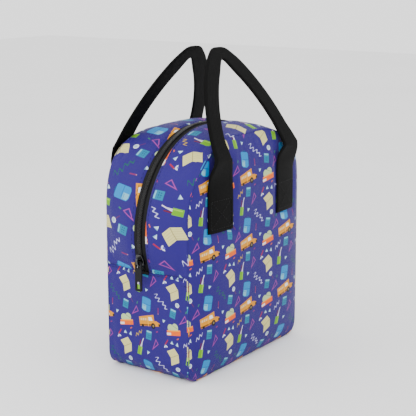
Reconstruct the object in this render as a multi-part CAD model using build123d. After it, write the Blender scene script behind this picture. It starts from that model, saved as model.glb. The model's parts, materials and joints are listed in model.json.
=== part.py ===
from build123d import *
import os
from math import asin, cos, degrees, radians, sin

# A soft insulated lunch bag: printed fabric over foam over a wipe-clean lining, closed by a zip
# that runs from one side seam over the top to the other, with two webbing handles.
#
# Frame: the origin is the middle of the base, +Z is up, +X runs along the width and -Y is the
# front. Lengths are in millimetres and angles in degrees.

# --- Driving dimensions -------------------------------------------------------------------
WIDTH = 220.0             # between the left and right edges of the front panel
DEPTH = 110.0             # between the front and back seams
HEIGHT = 258.0            # base to the top of the front seam
SIDE_SEAM_Z = 117.5       # where the upper gusset is sewn to the lower one

SHOULDER_RADIUS = 78.0    # top corners of the front and back seams
MID_SHOULDER_RADIUS = 110.0   # the same corners on the zip line
BASE_RADIUS = 18.0        # bottom corners
SIDE_BULGE = 11.5         # how far the zip line stands out past the side seams
TOP_BULGE = 7.0           # how far the zip line stands above the top seams
SHOULDER_START = -16.0    # the zip line's shoulder arc starts this far below level
PANEL_BULGE = 11.0        # crown of the front and back panels
PANEL_FLATNESS = 6        # power of the crown's fall towards the base and the top
PANEL_SQUARENESS = 4      # power of its fall towards the side edges
PANEL_LEVELS = (-0.03, 0.13, 0.3, 0.5, 0.7, 0.87, 1.05)   # where its plan is drawn
PANEL_OVERHANG = 25.0     # the crown's curve is drawn this far past the side edges
FORM_REACH = 0.64         # the gusset's form is lofted this share of DEPTH each way

SHELL = 0.8               # printed fabric
FOAM = 4.0                # insulation
LINING = 0.6              # wipe-clean lining
PLY_GAP = 0.2             # between two plies
SEAM_GAP = 0.2            # between two sewn edges

TAPE_HALF = 15.0          # zip tape, centre line to hidden edge
ZIP_HALF = 7.6            # the part of the tape that shows, each side of the centre line
LINING_ZIP_HALF = 10.0    # the lining stops this far from the centre line
NECK_GAP = 1.0            # half the gap that the slider's neck runs in
TAPE_THICKNESS = 0.8
COIL_WIDTH = 2.6
COIL_HEIGHT = 1.7
TAPE_INSET = SHELL + PLY_GAP
COIL_INSET = TAPE_INSET - COIL_HEIGHT - 0.05
ZIP_END_Z = SIDE_SEAM_Z + 3.5
END_TAB = (0.1, 1.2)      # how far the tab at each end of the zip stands off the fabric
END_TAB_HALF = 1.5

BINDING_WIDTH = 8.0
BINDING_THICKNESS = 2.4

# Slider, modelled upright at the outermost point of the zip line, then swung down to its place
SLIDER_LENGTH = 15.0
SLIDER_WIDTH = 10.4
WING = 1.3                # thickness of each wing
WING_CLEARANCE = 0.35
WING_CHAMFER = 2.0        # corners at its lower end
WING_NOSE = 1.6           # how far each side draws in towards its upper end
WING_CROWN = 1.5          # height of the round at its upper end
WING_ARC = 8.0            # and its radius
WING_EDGE = 0.5           # rounding of the outer face
RAIL_WIDTH = 0.9
RAIL_SPAN = (2.2, 0.3)    # the rails stop this far from the lower end and from the middle
NECK_CLEARANCE = 0.25
NECK_SPAN = (0.6, 4.4)    # above the lower end
OVERLAP = 0.2             # how far joined pieces run into each other
SLIDER_REST = -12.0       # angle below level, seen from the shoulder arc's centre
BAIL_REACH = 4.2          # slider face to the middle of the bail's front bar
BAIL_HALF = 3.0           # half its length, bar middle to bar middle
BAIL_WIDTH = 2.6
BAIL_BAR = 1.5
BAIL_BEND = 1.6           # radius of its two corners
BAIL_ROOT = 1.0           # its legs are drawn this far into the slider, then cut back
BAIL_GAP = 0.01           # to this far off its face
TAB_LENGTH = 31.0         # from the middle of its top bar
TAB_WIDTH = 8.8
TAB_THICKNESS = 1.4
TAB_BAR = 1.0             # half the height of its top bar
TAB_WINDOW = (4.6, 6.0)
TAB_SLOT = (4.6, 8.0)
TAB_RIM = 2.2
TAB_CORNER = 1.2
TAB_STANDOFF = 1.7        # pivot to the slider's face
TAB_DROP = 0.8            # pivot below the middle of the slider

WEBBING = 42.0            # the full width of the webbing
PLY = 1.6                 # its thickness
HANDLE_X = 64.5           # middle of each sewn end
HANDLE_FOOT_X = 67.0      # middle of each leg where it leaves the panel
HANDLE_END_Z = 161.0
HINGE_Y = 68.4            # distance of the fold line from the middle of the bag
HINGE_Z = 238.0
HANDLE_LEAN = 26.0        # from upright, inwards
HANDLE_RISE = 114.0       # fold line to the middle of the grip, along the handle
GRIP_RADIUS = 17.0
GRIP_SPREAD = 44.0        # half the angle that the grip's arc covers
FOLDED_WIDTH = 22.5       # the webbing folded along its length, just off its middle
FOLDED_THICKNESS = 2 * PLY
FOLD_CLEARANCE = 2.4      # the sewn end stops this far below the fold line
LOOP_START = 0.5          # and the loop starts this far above it
SEWN_GAP = 0.1            # between the sewn end and the panel
HEEL_HEIGHT = 10.0        # folded webbing at the top of the sewn end
HEEL_CLEARANCE = 2.0      # its face stops this far short of the fold line

BIG = 400.0

os.makedirs("parts", exist_ok=True)


# --- The bag's form -----------------------------------------------------------------------
def crown(y):
    """Share of the gusset's bulge at depth y: 1 on the zip line and 0 at the seams."""
    return 1 - (2 * y / DEPTH) ** 2


def shoulder(y, inset):
    """Centre and radius of the shoulder arc at depth y."""
    share = crown(y)
    radius = SHOULDER_RADIUS + (MID_SHOULDER_RADIUS - SHOULDER_RADIUS) * share
    centre_x = WIDTH / 2 + SIDE_BULGE * share - radius
    centre_z = HEIGHT + TOP_BULGE * share - radius
    return centre_x, centre_z, radius - inset


def outline(y, inset):
    """The bag's outline at depth y: flat base, round corners, leaning side, wide shoulder."""
    centre_x, centre_z, radius = shoulder(y, inset)
    start = SHOULDER_START * crown(y)
    lean = radians(start)
    corner_x = WIDTH / 2 - BASE_RADIUS
    foot = (WIDTH / 2 - inset, BASE_RADIUS)
    head = (centre_x + radius * cos(lean), centre_z + radius * sin(lean))
    half = [
        Line((0, inset), (corner_x, inset)),
        CenterArc((corner_x, BASE_RADIUS), BASE_RADIUS - inset, -90, 90),
        TangentArc(head, foot, tangent=(sin(lean), -cos(lean))),
        CenterArc((centre_x, centre_z), radius, start, 90 - start),
        Line((centre_x, centre_z + radius), (0, centre_z + radius)),
    ]
    edges = half + [mirror(edge, about=Plane.YZ) for edge in half]
    return Plane.XZ.offset(-y) * make_face(edges)


def form(inset):
    """The gusset's shape, carried past both seams, inset by a depth below the fabric."""
    reach = FORM_REACH * DEPTH
    return loft([outline(y, inset) for y in (-reach, -reach / 2, 0, reach / 2, reach)])


def panel_crown(z):
    """How far the middle of the front panel stands out at height z."""
    return PANEL_BULGE * (1 - abs(2 * z / HEIGHT - 1) ** PANEL_FLATNESS)


def panel_section(z, inset):
    """Plan of the space between the front and back panels at height z.

    The crown falls with the fourth power of x, so each panel is one quartic curve. Its five
    control points are evenly spaced along x, and swing about the curve by the power's value at
    its ends.
    """
    half = WIDTH / 2 + PANEL_OVERHANG + inset
    rise = panel_crown(z)
    swing_y = rise * (2 * half / WIDTH) ** PANEL_SQUARENESS
    middle_y = inset - DEPTH / 2 - rise
    front = [
        (half * share, middle_y + sign * swing_y)
        for share, sign in ((-1, 1), (-0.5, -1), (0, 1), (0.5, -1), (1, 1))
    ]
    back = [(x, -y) for x, y in reversed(front)]
    edges = [Bezier(*front), Line(front[-1], back[0]), Bezier(*back), Line(back[-1], front[0])]
    return Plane.XY.offset(z) * make_face(edges)


def slab(inset):
    """The space between the front and back panels."""
    levels = [HEIGHT * share for share in PANEL_LEVELS]
    return loft([panel_section(z, inset) for z in levels])


def block(x, y, z):
    """A box from three (low, high) pairs."""
    size = [high - low for low, high in (x, y, z)]
    centre = [(high + low) / 2 for low, high in (x, y, z)]
    return Pos(*centre) * Box(*size)


def save(shape, name):
    """Write one node."""
    shape.label = name
    export_step(shape, f"parts/{name}.step")


# --- Plies: fabric, foam and lining of each panel -----------------------------------------
ALL = (-BIG, BIG)
LOW = (-BIG, SIDE_SEAM_Z - SEAM_GAP / 2)
HIGH = (SIDE_SEAM_Z + SEAM_GAP / 2, BIG)


def build_ply(suffix, outer, thickness, zip_half):
    """The five pieces of one ply, between two depths below the fabric's face."""
    inner = outer + thickness
    outer_form = form(outer)
    faces = (outer_form & slab(outer)) - slab(inner)
    save(faces & block(ALL, (-BIG, 0), ALL), "front_panel" + suffix)
    save(faces & block(ALL, (0, BIG), ALL), "back_panel" + suffix)
    band = (outer_form & slab(inner + SEAM_GAP)) - form(inner)
    save(band & block(ALL, ALL, LOW), "lower_gusset" + suffix)
    save(band & block(ALL, (-BIG, -zip_half), HIGH), "upper_gusset_front" + suffix)
    save(band & block(ALL, (zip_half, BIG), HIGH), "upper_gusset_back" + suffix)


FOAM_INSET = SHELL + PLY_GAP
LINING_INSET = FOAM_INSET + FOAM + PLY_GAP
INSIDE = LINING_INSET + LINING
build_ply("", 0, SHELL, ZIP_HALF)
build_ply("_foam", FOAM_INSET, FOAM, TAPE_HALF + SEAM_GAP)
build_ply("_lining", LINING_INSET, LINING, LINING_ZIP_HALF)

# Binding tape over the raw seam edges, inside the front and back seams
binding_outer = INSIDE + PLY_GAP
binding_ring = form(binding_outer) - form(binding_outer + BINDING_THICKNESS)
binding_y = DEPTH / 2 - INSIDE - PLY_GAP
front_strip = block(ALL, (-binding_y, BINDING_WIDTH - binding_y), ALL)
save(binding_ring & front_strip, "front_seam_binding")
save(binding_ring & mirror(front_strip, about=Plane.XZ), "back_seam_binding")

# --- Zip ----------------------------------------------------------------------------------
tape_band = form(TAPE_INSET) - form(TAPE_INSET + TAPE_THICKNESS)
coil_band = form(COIL_INSET) - form(COIL_INSET + COIL_HEIGHT)
for side, name in ((-1, "front"), (1, "back")):
    tape_y = sorted((side * NECK_GAP, side * TAPE_HALF))
    coil_y = sorted((side * NECK_GAP, side * (NECK_GAP + COIL_WIDTH)))
    save(tape_band & block(ALL, tape_y, HIGH), f"zipper_tape_{name}")
    save(coil_band & block(ALL, coil_y, (ZIP_END_Z, BIG)), f"zipper_coil_{name}")

end_band = form(-END_TAB[1]) - form(-END_TAB[0])
end_strip = block(ALL, (-ZIP_HALF, ZIP_HALF), (SIDE_SEAM_Z - END_TAB_HALF, SIDE_SEAM_Z + END_TAB_HALF))
end_tabs = end_band & end_strip
for side, name in ((-1, "left"), (1, "right")):
    half_space = block(sorted((0, side * BIG)), ALL, ALL)
    save(end_tabs & half_space, f"zipper_end_{name}")

# --- Slider and pull tab ------------------------------------------------------------------
arc_x, arc_z, arc_radius = shoulder(0, 0)
face_x = -arc_x - arc_radius          # the zip line's outermost point, on the left side
outer_wing_x = face_x + COIL_INSET - WING_CLEARANCE
inner_wing_x = face_x + TAPE_INSET + TAPE_THICKNESS + WING_CLEARANCE
swing = Pos(-arc_x, 0, arc_z) * Rot(0, SLIDER_REST, 0) * Pos(arc_x, 0, -arc_z)

half_length = SLIDER_LENGTH / 2
half_width = SLIDER_WIDTH / 2
nose_y = half_width - WING_NOSE
tail_y = half_width - WING_CHAMFER
wing_plan = Plane.YZ * make_face([
    Line((-half_width, WING_CHAMFER - half_length), (-half_width, 0)),
    Line((-half_width, 0), (-nose_y, half_length - WING_CROWN)),
    RadiusArc((-nose_y, half_length - WING_CROWN), (nose_y, half_length - WING_CROWN), WING_ARC),
    Line((nose_y, half_length - WING_CROWN), (half_width, 0)),
    Line((half_width, 0), (half_width, WING_CHAMFER - half_length)),
    Line((half_width, WING_CHAMFER - half_length), (tail_y, -half_length)),
    Line((tail_y, -half_length), (-tail_y, -half_length)),
    Line((-tail_y, -half_length), (-half_width, WING_CHAMFER - half_length)),
])
rail_depth = inner_wing_x - outer_wing_x - TAPE_THICKNESS - 2 * WING_CLEARANCE - OVERLAP
outer_wing = Pos(outer_wing_x - WING, 0, arc_z) * extrude(wing_plan, WING)
outer_wing = fillet(outer_wing.faces().sort_by(Axis.X)[0].edges(), WING_EDGE)
inner_wing = Pos(inner_wing_x, 0, arc_z) * extrude(wing_plan, WING)
rails = [
    block((outer_wing_x - OVERLAP, outer_wing_x + rail_depth),
          sorted((side * (half_width - RAIL_WIDTH), side * half_width)),
          (arc_z - half_length + RAIL_SPAN[0], arc_z - RAIL_SPAN[1]))
    for side in (-1, 1)
]
neck_half = NECK_GAP - NECK_CLEARANCE
neck = block((outer_wing_x - OVERLAP, inner_wing_x + OVERLAP), (-neck_half, neck_half),
             (arc_z - half_length + NECK_SPAN[0], arc_z - half_length + NECK_SPAN[1]))
save(swing * (outer_wing + inner_wing + neck + rails[0] + rails[1]), "slider_body")

bail_foot = outer_wing_x - WING
bail_front = bail_foot - BAIL_REACH
bail_path = Plane.XZ * FilletPolyline(
    (bail_foot + BAIL_ROOT, arc_z - BAIL_HALF), (bail_front, arc_z - BAIL_HALF),
    (bail_front, arc_z + BAIL_HALF), (bail_foot + BAIL_ROOT, arc_z + BAIL_HALF),
    radius=BAIL_BEND,
)
bail_section = Plane(bail_path @ 0, z_dir=bail_path % 0) * Rectangle(BAIL_BAR, BAIL_WIDTH)
inside_face = block((bail_foot - BAIL_GAP, bail_foot + 2 * BAIL_ROOT), ALL, ALL)
bail = sweep(bail_section, path=bail_path) - inside_face
save(swing * bail, "slider_bail")

# The tab's top bar runs through the bail, and its window lets it fold up over the bail
tab_plate = fillet(
    (Pos(0, -TAB_LENGTH / 2) * Rectangle(TAB_WIDTH, TAB_LENGTH + 2 * TAB_BAR)).vertices(), TAB_CORNER
)
window = Pos(0, -(TAB_BAR + TAB_WINDOW[1] / 2)) * Rectangle(*TAB_WINDOW)
grip_slot = Pos(0, TAB_SLOT[1] / 2 + TAB_RIM - TAB_LENGTH - TAB_BAR) * Rectangle(*TAB_SLOT)
tab = extrude(Plane.YZ * (tab_plate - window - grip_slot), TAB_THICKNESS / 2, both=True)
pivot = (swing * Pos(bail_foot - TAB_STANDOFF, 0, arc_z - TAB_DROP)).position
save(Pos(pivot) * tab, "pull_tab")

# --- Handles ------------------------------------------------------------------------------
wrap = slab(-PLY - SEWN_GAP) - slab(-SEWN_GAP)
end_z = (HANDLE_END_Z, HINGE_Z - FOLD_CLEARANCE)
heel_y = (HEEL_CLEARANCE - HINGE_Y, -DEPTH / 2)
for side, side_name in ((-1, "left"), (1, "right")):
    end_x = (side * HANDLE_X - WEBBING / 2, side * HANDLE_X + WEBBING / 2)
    foot_x = (side * HANDLE_FOOT_X - FOLDED_WIDTH / 2, side * HANDLE_FOOT_X + FOLDED_WIDTH / 2)
    heel = block(foot_x, heel_y, (end_z[1] - HEEL_HEIGHT, end_z[1])) - slab(-SEWN_GAP)
    handle_end = (wrap & block(end_x, (-BIG, 0), end_z)) + heel
    save(handle_end, f"front_handle_end_{side_name}")
    save(mirror(handle_end, about=Plane.XZ), f"back_handle_end_{side_name}")

# Each leg is an arc that meets the grip's arc at GRIP_SPREAD from the top
spread = radians(GRIP_SPREAD)
grip_z = HANDLE_RISE - GRIP_RADIUS
leg_shift = (HANDLE_FOOT_X ** 2 + grip_z ** 2 - GRIP_RADIUS ** 2) / (
    2 * (GRIP_RADIUS - HANDLE_FOOT_X * sin(spread) + grip_z * cos(spread)))
leg_centre = (-leg_shift * sin(spread), grip_z - leg_shift * cos(spread))
leg_radius = GRIP_RADIUS + leg_shift
leg_start = degrees(asin((LOOP_START - leg_centre[1]) / leg_radius))


def strap_edge(offset):
    """One long edge of the loop, from the right foot over the grip to the left foot."""
    leg = CenterArc(leg_centre, leg_radius + offset, leg_start, 90 - GRIP_SPREAD - leg_start)
    grip = CenterArc((0, grip_z), GRIP_RADIUS + offset, 90 - GRIP_SPREAD, 2 * GRIP_SPREAD)
    return [leg, grip, mirror(leg, about=Plane.YZ)]


outer_edge = strap_edge(FOLDED_WIDTH / 2)
inner_edge = strap_edge(-FOLDED_WIDTH / 2)
feet = [Line(outer_edge[i] @ 0, inner_edge[i] @ 0) for i in (0, 2)]
lean = radians(HANDLE_LEAN)
loop_plane = Plane((0, -HINGE_Y, HINGE_Z), x_dir=(1, 0, 0), z_dir=(0, -cos(lean), sin(lean)))
loop_face = loop_plane * make_face(outer_edge + inner_edge + feet)
loop = extrude(loop_face, FOLDED_THICKNESS / 2, both=True)
save(loop, "front_handle_loop")
save(mirror(loop, about=Plane.XZ), "back_handle_loop")

# The tab swings about this line, which the record repeats
print("tab pivot", tuple(pivot))
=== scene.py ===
"""A soft insulated lunch bag: printed fabric, zip with slider, and two folded webbing handles.

Sizes in this file are millimetres unless a name says otherwise. Meshes are written in metres.
The bag stands on z = 0 with its front panel towards -Y and the closed zip's slider at -X.
"""

import json
import logging
import math
from dataclasses import dataclass
from enum import Enum
from typing import Any, Sequence

import bmesh
import bpy
import numpy as np
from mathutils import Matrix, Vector


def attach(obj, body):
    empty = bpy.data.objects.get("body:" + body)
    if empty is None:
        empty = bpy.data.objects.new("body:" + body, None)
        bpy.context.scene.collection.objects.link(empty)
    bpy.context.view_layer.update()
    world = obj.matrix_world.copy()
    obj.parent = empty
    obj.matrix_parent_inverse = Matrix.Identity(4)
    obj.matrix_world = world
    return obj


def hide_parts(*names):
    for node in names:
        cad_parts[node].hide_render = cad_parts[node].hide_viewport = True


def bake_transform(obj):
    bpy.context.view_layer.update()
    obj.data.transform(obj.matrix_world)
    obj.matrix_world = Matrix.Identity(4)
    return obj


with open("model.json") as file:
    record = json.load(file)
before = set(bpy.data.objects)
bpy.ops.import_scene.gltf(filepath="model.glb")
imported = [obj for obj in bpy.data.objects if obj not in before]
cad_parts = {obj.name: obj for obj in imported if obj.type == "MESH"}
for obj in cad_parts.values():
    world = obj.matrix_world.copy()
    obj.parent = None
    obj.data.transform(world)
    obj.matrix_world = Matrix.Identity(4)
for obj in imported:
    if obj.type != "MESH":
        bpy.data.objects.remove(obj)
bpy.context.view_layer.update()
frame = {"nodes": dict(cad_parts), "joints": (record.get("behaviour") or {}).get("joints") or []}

logging.basicConfig(level=logging.INFO, format="%(message)s")
LOG = logging.getLogger("lunch_bag")

MM = 0.001
TURN = 2 * math.pi


# ------------------------------------------------------------------------------------------
# Shader maths
# ------------------------------------------------------------------------------------------
class Value:
    """A number on a node's socket. Arithmetic on it adds Math nodes."""

    def __init__(self, shader: "Shader", socket: Any) -> None:
        """Wraps a socket of a shader."""
        self.shader = shader
        self.socket = socket

    def math(self, operation: str, *others: "Value | float", clamp: bool = False) -> "Value":
        """Adds one Math node.

        Args:
            operation: Blender's name for the operation.
            others: the operands after this one.
            clamp: whether the result is held between 0 and 1.

        Returns:
            The result.
        """
        inputs = dict(enumerate((self, *others)))
        settings = {"operation": operation, "use_clamp": clamp}
        return self.shader.node("ShaderNodeMath", settings, inputs)

    def __add__(self, other: "Value | float") -> "Value":
        """Sum."""
        return self.math("ADD", other)

    __radd__ = __add__

    def __sub__(self, other: "Value | float") -> "Value":
        """Difference."""
        return self.math("SUBTRACT", other)

    def __rsub__(self, other: float) -> "Value":
        """Difference from a plain number."""
        return (self * -1.0) + other

    def __mul__(self, other: "Value | float") -> "Value":
        """Product."""
        return self.math("MULTIPLY", other)

    __rmul__ = __mul__

    def __truediv__(self, other: "Value | float") -> "Value":
        """Quotient."""
        return self.math("DIVIDE", other)

    def __abs__(self) -> "Value":
        """Absolute value."""
        return self.math("ABSOLUTE")

    def most(self, other: "Value | float") -> "Value":
        """The larger of the two, which cuts one shape with another."""
        return self.math("MAXIMUM", other)

    def least(self, other: "Value | float") -> "Value":
        """The smaller of the two, which joins one shape to another."""
        return self.math("MINIMUM", other)

    def sine(self) -> "Value":
        """Sine."""
        return self.math("SINE")

    def wrapped(self, half: float) -> "Value":
        """The value folded into the span from -half to half."""
        return self.math("WRAP", half, -half)

    def inside(self, soft: float = 0.22) -> "Value":
        """1 where this distance is negative and 0 outside, with a soft edge in the same unit."""
        return self.math("MULTIPLY_ADD", -1.0 / soft, 0.5, clamp=True)


class Shader:
    """A material under construction."""

    def __init__(self, name: str) -> None:
        """Starts an empty node tree."""
        self.material = bpy.data.materials.new(name)
        self.material.use_nodes = True
        self.tree = self.material.node_tree
        self.tree.nodes.clear()

    def node(self, kind: str, settings: dict[str, Any], inputs: dict[Any, Any],
             output: int | str = 0) -> Value:
        """Adds one node.

        Args:
            kind: the node's type.
            settings: properties set first; "stops" gives a ramp's (position, colour) pairs.
            inputs: socket names or numbers, with a value or a Value to link.
            output: the output wanted.

        Returns:
            That output.
        """
        made = self.tree.nodes.new(kind)
        for key, setting in settings.items():
            if key == "stops":
                while len(made.color_ramp.elements) < len(setting):
                    made.color_ramp.elements.new(0.5)
                for element, (position, colour) in zip(made.color_ramp.elements, setting):
                    element.position = position
                    element.color = colour
            else:
                setattr(made, key, setting)
        for key, value in inputs.items():
            if isinstance(value, Value):
                self.tree.links.new(value.socket, made.inputs[key])
            else:
                made.inputs[key].default_value = value
        return Value(self, made.outputs[output])

    def uv(self, layer: str) -> Value:
        """The named UV map as a vector."""
        return self.node("ShaderNodeUVMap", {"uv_map": layer}, {})

    def object_place(self) -> Value:
        """Object coordinates, in metres."""
        return self.node("ShaderNodeTexCoord", {}, {}, "Object")

    def vector(self, operation: str, *inputs: Any, output: int | str = 0) -> Value:
        """One Vector Math node."""
        settings = {"operation": operation}
        return self.node("ShaderNodeVectorMath", settings, dict(enumerate(inputs)), output)

    def parts(self, vector: Value) -> tuple[Value, Value, Value]:
        """The three numbers of a vector."""
        first = self.node("ShaderNodeSeparateXYZ", {}, {0: vector})
        outputs = first.socket.node.outputs
        return tuple(Value(self, socket) for socket in outputs)

    def noise(self, place: Value, scale: float, detail: float = 2.0) -> Value:
        """Smooth noise about 0.5."""
        return self.node("ShaderNodeTexNoise", {}, {"Vector": place, "Scale": scale,
                                                    "Detail": detail})

    def mix(self, share: Value, below: Any, above: Any) -> Value:
        """One colour laid over another where share is 1."""
        settings = {"data_type": "RGBA", "blend_type": "MIX"}
        return self.node("ShaderNodeMix", settings, {0: share, 6: below, 7: above}, 2)

    def bump(self, height: Value, distance: float, strength: float) -> Value:
        """A normal bent by a height, whose full step is a distance in metres."""
        inputs = {"Height": height, "Distance": distance, "Strength": strength}
        return self.node("ShaderNodeBump", {}, inputs)

    def finish(self, sockets: dict[str, Any]) -> bpy.types.Material:
        """Ends the material with a Principled shader.

        Args:
            sockets: the shader's sockets by name, with values or links.

        Returns:
            The material.
        """
        surface = self.node("ShaderNodeBsdfPrincipled", {}, sockets)
        made = self.tree.nodes.new("ShaderNodeOutputMaterial")
        self.tree.links.new(surface.socket, made.inputs["Surface"])
        return self.material


def linear(red: float, green: float, blue: float) -> tuple[float, float, float, float]:
    """A display colour from 0 to 255 as a linear colour with full alpha."""
    def channel(level: float) -> float:
        """One channel of the display curve, undone."""
        share = level / 255
        return share / 12.92 if share <= 0.04045 else ((share + 0.055) / 1.055) ** 2.4

    return channel(red), channel(green), channel(blue), 1.0


# ------------------------------------------------------------------------------------------
# The print: small school things on a blue-violet ground
# ------------------------------------------------------------------------------------------
TILE = 72.0


class Thing(Enum):
    """The motifs of the print."""

    BUS = "bus"
    BOOKS = "books"
    PACK = "pack"
    NOTEBOOK = "notebook"
    CUP = "cup"
    CALCULATOR = "calculator"
    SET_SQUARE = "set_square"
    PLANE = "plane"
    LENS = "lens"
    PROTRACTOR = "protractor"
    PENCIL = "pencil"
    SCRIBBLE = "scribble"
    NOTE = "note"
    CRUMB = "crumb"


@dataclass(frozen=True)
class Motif:
    """One motif: what it is, its middle in the tile, its turn in degrees, its ink, and whether
    it shows in every second tile only, which a sparse motif does."""

    thing: Thing
    x: float
    y: float
    turn: float = 0.0
    ink: tuple[float, float, float] = (255, 255, 255)
    sparse: bool = False


LAYOUT = (
    Motif(Thing.SCRIBBLE, 19.5, 26, -38, (178, 178, 226), True),
    Motif(Thing.SCRIBBLE, 91.5, 26, -38, (8, 84, 62), True),
    Motif(Thing.NOTE, -16, -16, 35, (176, 146, 10), True),
    Motif(Thing.NOTE, 56, -16, 35, (178, 178, 222), True),
    Motif(Thing.BUS, 0, 0, 8),
    Motif(Thing.BOOKS, 36.5, -3, 8),
    Motif(Thing.PACK, -3, 19, -10),
    Motif(Thing.NOTEBOOK, -32.5, 40, 115),
    Motif(Thing.CUP, -13, 41, -8),
    Motif(Thing.CALCULATOR, -35.5, 15, -12),
    Motif(Thing.CALCULATOR, -0.7, -16, -5),
    Motif(Thing.SET_SQUARE, -20.5, 9, 25),
    Motif(Thing.SET_SQUARE, 10, -25, 40),
    Motif(Thing.PLANE, 23, 5, 20),
    Motif(Thing.PLANE, 36, -18, -30),
    Motif(Thing.PLANE, 0, -35, 10),
    Motif(Thing.PLANE, -29, -18, 75),
    Motif(Thing.LENS, -28.5, 25, 35),
    Motif(Thing.PROTRACTOR, 26, -24, 15),
    Motif(Thing.PENCIL, 14.5, 14.5, -4, (112, 30, 84)),
    Motif(Thing.PENCIL, 27, -18.5, -35, (150, 26, 50)),
    Motif(Thing.CRUMB, 12, -10, 20, (132, 40, 92)),
    Motif(Thing.CRUMB, -28, -12, 30, (190, 84, 40)),
    Motif(Thing.CRUMB, -17, 19, 62, (44, 116, 76)),
)


class SchoolPrint:
    """Paints the motifs over a ground colour, from distances worked out in the tile."""

    def __init__(self, shader: Shader, ground: Value, place: Value) -> None:
        """Starts with the ground.

        Args:
            shader: the material under construction.
            ground: the colour of the bare cloth.
            place: the print's own coordinates, in millimetres of the tile.
        """
        self.shader = shader
        self.colour = ground
        self.place = place
        self.x: Value | None = None
        self.y: Value | None = None

    def paint(self, distance: Value, red: float, green: float, blue: float,
              soft: float = 0.3) -> None:
        """Lays a colour where the distance is negative."""
        self.colour = self.shader.mix(distance.inside(soft), self.colour,
                                      linear(red, green, blue))

    def box(self, x: float, y: float, half_x: float, half_y: float) -> Value:
        """Distance to a box: the larger of the two overshoots."""
        return (abs(self.x - x) - half_x).most(abs(self.y - y) - half_y)

    def disc(self, x: float, y: float, radius: float) -> Value:
        """Distance to a disc, near its rim: squared reach over twice the radius."""
        across = self.x - x
        up = self.y - y
        return (across * across + up * up - radius * radius) * (0.5 / radius)

    def slope(self, angle: float, reach: float) -> Value:
        """Distance past a straight edge that faces an angle, at a reach from the middle."""
        turn = math.radians(angle)
        return self.x * math.cos(turn) + self.y * math.sin(turn) - reach

    def add(self, motif: Motif) -> None:
        """Draws one motif, in coordinates centred on it and turned with it."""
        shader = self.shader
        across, up = TILE if motif.sparse else TILE / 2, TILE / 2
        moved = shader.vector("SUBTRACT", self.place, (motif.x, motif.y, 0))
        local = shader.vector("WRAP", moved, (across, up, up), (-across, -up, -up))
        turned = shader.node("ShaderNodeVectorRotate", {"rotation_type": "Z_AXIS"},
                             {"Vector": local, "Angle": -math.radians(motif.turn)})
        self.x, self.y, _ = shader.parts(turned)
        getattr(self, motif.thing.value)(motif.ink)

    def bus(self, _: Sequence[float]) -> None:
        """A yellow school bus seen from its front corner, with its bonnet to the right."""
        roof = self.slope(96, 6.6).most(self.slope(-90, 5.4)).most(abs(self.x + 3.5) - 11.5)
        bonnet = self.box(11.0, -2.6, 5.2, 3.0).most(self.slope(62, 5.6))
        self.paint(roof.least(bonnet), 206, 134, 0)
        self.paint(self.box(-3.5, -4.2, 11.5, 0.9), 120, 72, 4)
        side = self.box(-8.4, 2.2, 5.6, 1.3).most(abs((self.x + 8.4).wrapped(1.5)) - 1.0)
        self.paint(side, 206, 186, 140)
        self.paint(self.box(3.4, 2.7, 3.8, 2.0).most(self.slope(20, 5.6)), 226, 228, 232)
        self.paint(self.box(-1.9, -0.4, 0.35, 5.2), 240, 176, 40)
        self.paint(self.box(15.2, -4.2, 1.4, 1.4), 40, 30, 20)
        wheels = self.disc(5.6, -5.2, 3.3).least(self.disc(-10.6, -5.0, 1.7))
        self.paint(wheels, 20, 18, 18)
        self.paint(self.disc(5.8, -5.2, 1.4), 120, 104, 70)

    def books(self, _: Sequence[float]) -> None:
        """A fat orange book with a heap of pale green leaves on it."""
        heap = self.disc(-3.4, 2.0, 4.2).least(self.disc(3.4, 2.6, 4.4))
        self.paint(heap.least(self.box(0.4, 1.0, 7.0, 2.6)), 168, 190, 138)
        gap = self.slope(62, 4.6).most(self.slope(242, -3.9))
        self.paint(gap.most(heap + 0.6), 120, 140, 96)
        self.paint(self.box(0.4, -3.6, 9.8, 2.8), 224, 92, 8)
        self.paint(self.box(0.8, -1.2, 9.4, 0.7), 236, 140, 30)
        self.paint(self.box(-6.6, -4.6, 3.2, 1.3), 226, 214, 210)

    def pack(self, _: Sequence[float]) -> None:
        """A cyan backpack with a pale pocket."""
        self.paint(self.box(0.4, 8.8, 2.2, 1.0), 10, 52, 110)
        body = self.box(0, 0, 6.4, 8.2).most(self.disc(0, 0.4, 9.2))
        self.paint(body, 0, 122, 184)
        self.paint(self.box(1.2, 0.2, 5.4, 0.35), 0, 88, 150)
        self.paint(self.box(-3.0, -4.2, 3.1, 3.2).most(body + 0.7), 110, 172, 192)
        self.paint(self.box(-3.4, -2.2, 2.6, 0.4).most(body + 1.0), 50, 130, 172)

    def notebook(self, _: Sequence[float]) -> None:
        """An open sheet of ruled cream paper: two leaves that rise from the fold."""
        lift = self.y - abs(self.x) * 0.36
        page = (abs(self.x) - 8.2).most(abs(lift) - 6.0)
        self.paint(page, 204, 196, 132)
        ruled = (abs(lift.wrapped(1.1)) - 0.2).most(abs(self.x) - 7.0).most(page + 1.0)
        self.paint(ruled, 176, 168, 104)
        self.paint(page.most(abs(self.x) - 0.3), 140, 130, 80)

    def cup(self, _: Sequence[float]) -> None:
        """A green cup of pencils."""
        self.paint(self.slope(-14, 0.5).most(self.slope(166, 0.5)).most(
            abs(self.y - 5.0) - 5.6), 214, 206, 226)
        self.paint(self.box(-1.3, 3.2, 0.6, 4.6), 96, 20, 34)
        self.paint(self.box(1.5, 2.4, 0.6, 4.0), 190, 184, 200)
        self.paint(self.box(0, -4.2, 3.2, 4.6).most(self.disc(0, -3.4, 6.2)), 96, 154, 14)
        self.paint(self.box(1.8, -3.8, 0.6, 3.8), 136, 184, 50)

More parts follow.
